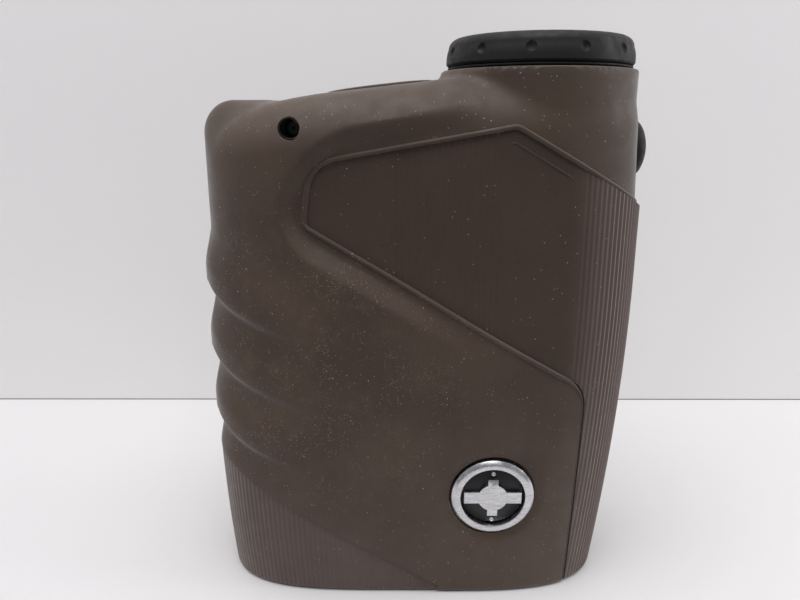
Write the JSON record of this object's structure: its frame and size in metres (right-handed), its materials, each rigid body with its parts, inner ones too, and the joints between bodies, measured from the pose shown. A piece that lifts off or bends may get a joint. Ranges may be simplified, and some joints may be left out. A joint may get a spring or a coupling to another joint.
{
  "type": "laser rangefinder",
  "caption": "Hand-held laser rangefinder monocular with rubber-armoured case, focusing eyepiece ring, fire and mode buttons and battery cap.",
  "frame": {"origin": "middle of the front (lens) end, on the surface that the object stands on", "axes": "+Z from the lenses to the eyepiece, +X to the top in use (fire button side), -Y to the right-hand side"},
  "size_m": [0.0751, 0.035, 0.095],
  "materials": {
    "armour_rubber": "soft-touch dark brown rubber, matte, lightly dusty",
    "shell_plastic": "dark brown moulded plastic with fine ribs",
    "black_rubber": "black rubber, matte",
    "black_plastic": "black moulded plastic",
    "grey_plastic": "glass-filled grey plastic",
    "silver_metal": "satin silver plating",
    "steel": "plain steel",
    "brass": "gold-plated or brass",
    "lens_glass": "coated optical glass",
    "circuit_board": "green solder resist",
    "sleeve": "printed plastic sleeve"
  },
  "bodies": {
    "root": {"armour_right": "armour_rubber", "armour_left": "armour_rubber", "housing_right": "shell_plastic", "housing_left": "shell_plastic", "gasket_finger_side": "black_rubber", "gasket_top_side": "black_rubber", "ring_seal": "black_rubber", "front_bezel": "black_plastic", "objective_cell": "black_plastic", "objective_retainer": "black_plastic", "receiver_cell": "black_plastic", "receiver_retainer": "black_plastic", "rear_collar": "black_plastic", "battery_tube": "black_plastic", "medallion_disc": "black_plastic", "main_chip": "black_plastic", "optical_chassis": "grey_plastic", "medallion_ring": "silver_metal", "medallion_emblem": "silver_metal", "strap_pin": "steel", "prism_clip": "steel", "prism_clip_screw_1": "steel", "prism_clip_screw_2": "steel", "detector": "steel", "mode_switch": "steel", "fire_switch": "steel", "battery_spring": "steel", "housing_screw_1": "steel", "housing_screw_2": "steel", "housing_screw_3": "steel", "housing_screw_4": "steel", "housing_screw_5": "steel", "laser_diode": "brass", "display_ribbon": "brass", "objective_lens": "lens_glass", "receiver_lens": "lens_glass", "prism_half": "lens_glass", "prism_roof": "lens_glass", "reticle_display": "lens_glass", "detector_board": "circuit_board", "laser_board": "circuit_board", "main_board": "circuit_board", "button_board": "circuit_board", "pulse_capacitor": "sleeve", "battery_wire_positive": "sleeve", "battery_wire_negative": "sleeve"},
    "diopter": {"diopter_ring": "black_rubber"},
    "ocular": {"ocular_cell": "black_plastic", "field_lens": "lens_glass", "eye_lens": "lens_glass", "eyepiece_retainer": "black_plastic"},
    "fire": {"fire_button": "black_rubber"},
    "mode": {"mode_button": "black_rubber"},
    "cap_contact": {"battery_cap_contact": "brass"},
    "cap": {"battery_cap": "black_plastic", "battery_cap_seal": "black_rubber"},
    "tab": {"battery_cap_tab": "black_plastic"},
    "cell": {"battery": "sleeve"}
  },
  "joints": [
    {"name": "diopter_turn", "type": "hinge", "parent": "root", "child": "diopter", "pos_m": [0.0189, 0, 0.092], "axis": [0, 0, 1], "range_deg": [-135, 135]},
    {"name": "ocular_focus", "type": "slide", "parent": "root", "child": "ocular", "axis": [0, 0, 1], "range_m": [-0.001, 0.001]},
    {"name": "fire_press", "type": "slide", "parent": "root", "child": "fire", "axis": [-1, 0, 0], "range_m": [0, 0.0007], "stiffness_N_per_m": 1500},
    {"name": "mode_press", "type": "slide", "parent": "root", "child": "mode", "axis": [0, -1, 0], "range_m": [0, 0.0005], "stiffness_N_per_m": 1500},
    {"name": "cap_lift", "type": "slide", "parent": "root", "child": "cap_contact", "axis": [-0.1113, 0, 0.9938], "range_m": [0, 0.045]},
    {"name": "cap_turn", "type": "hinge", "parent": "cap_contact", "child": "cap", "pos_m": [-0.0074, 0, 0.08682], "axis": [-0.1113, 0, 0.9938], "range_deg": [0, 90]},
    {"name": "tab_flip", "type": "hinge", "parent": "cap", "child": "tab", "pos_m": [-0.00744, 0, 0.08719], "axis": [0.9938, 0, 0.1113], "range_deg": [0, 95]},
    {"name": "battery_slide", "type": "slide", "parent": "root", "child": "cell", "axis": [-0.1113, 0, 0.9938], "range_m": [0, 0.027]}
  ],
  "couplings": [
    {"joint": "diopter_turn", "follows": "ocular_focus", "rad_per_m": 2356},
    {"joint": "battery_slide", "follows": "cap_lift", "ratio": 0.6}
  ]
}
